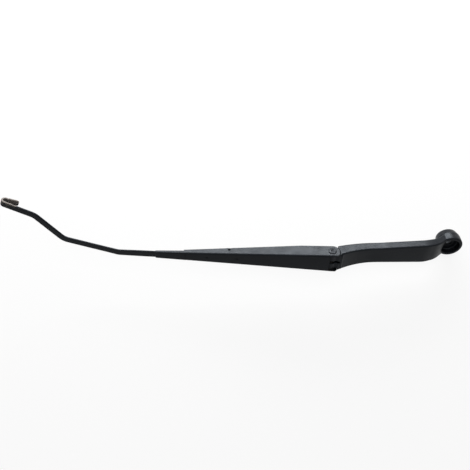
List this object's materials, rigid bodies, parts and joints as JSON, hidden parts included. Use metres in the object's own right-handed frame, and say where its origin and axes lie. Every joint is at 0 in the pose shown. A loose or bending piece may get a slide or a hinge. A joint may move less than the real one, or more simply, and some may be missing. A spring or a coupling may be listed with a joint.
{
  "type": "wiper arm",
  "caption": "Windscreen wiper arm with a cast mounting head, a sprung hinge, a tapered sheet-steel channel and a dog-legged flat bar that ends in a blade hook.",
  "frame": {"origin": "spindle axis at the nut seat in the boss", "axes": "+Z along the spindle axis away from the glass, -X along the arm to the hook, +Y the side to which the bar is offset"},
  "size_m": [0.5638, 0.0946, 0.0487],
  "materials": {
    "head_paint": "semi-gloss black coating on a cast head, slightly grained",
    "channel_paint": "smooth semi-gloss black coating on folded sheet steel",
    "bar_paint": "semi-gloss black coating, worn brown at the edges of the hook",
    "rivet_steel": "thin black coating rubbed through to grey on the rivet heads",
    "pin_steel": "plain ground steel",
    "bush_bronze": "dull sintered bronze",
    "link_steel": "dull stamped steel",
    "spring_steel": "dark oiled spring wire"
  },
  "bodies": {
    "head": {"mounting_head": "head_paint", "hinge_bush_left": "bush_bronze", "hinge_bush_right": "bush_bronze", "anchor_pin": "pin_steel"},
    "arm": {"retainer_channel": "channel_paint", "hook_bar": "bar_paint", "bar_rivets": "channel_paint", "hinge_pin": "rivet_steel"},
    "spring_line": {"spring_link": "link_steel", "tension_spring": "spring_steel"}
  },
  "joints": [
    {"name": "arm_hinge", "type": "hinge", "parent": "head", "child": "arm", "pos_m": [-0.154, 0, 0.029], "axis": [0, 1, 0], "range_deg": [0, 65], "deforming": ["tension_spring"]},
    {"name": "spring_swing", "type": "hinge", "parent": "head", "child": "spring_line", "pos_m": [-0.14823, 0, 0.026], "axis": [0, 1, 0], "range_deg": [0, 60.87]}
  ],
  "couplings": [
    {"joint": "spring_swing", "follows": "arm_hinge", "ratio": 0.9364}
  ]
}
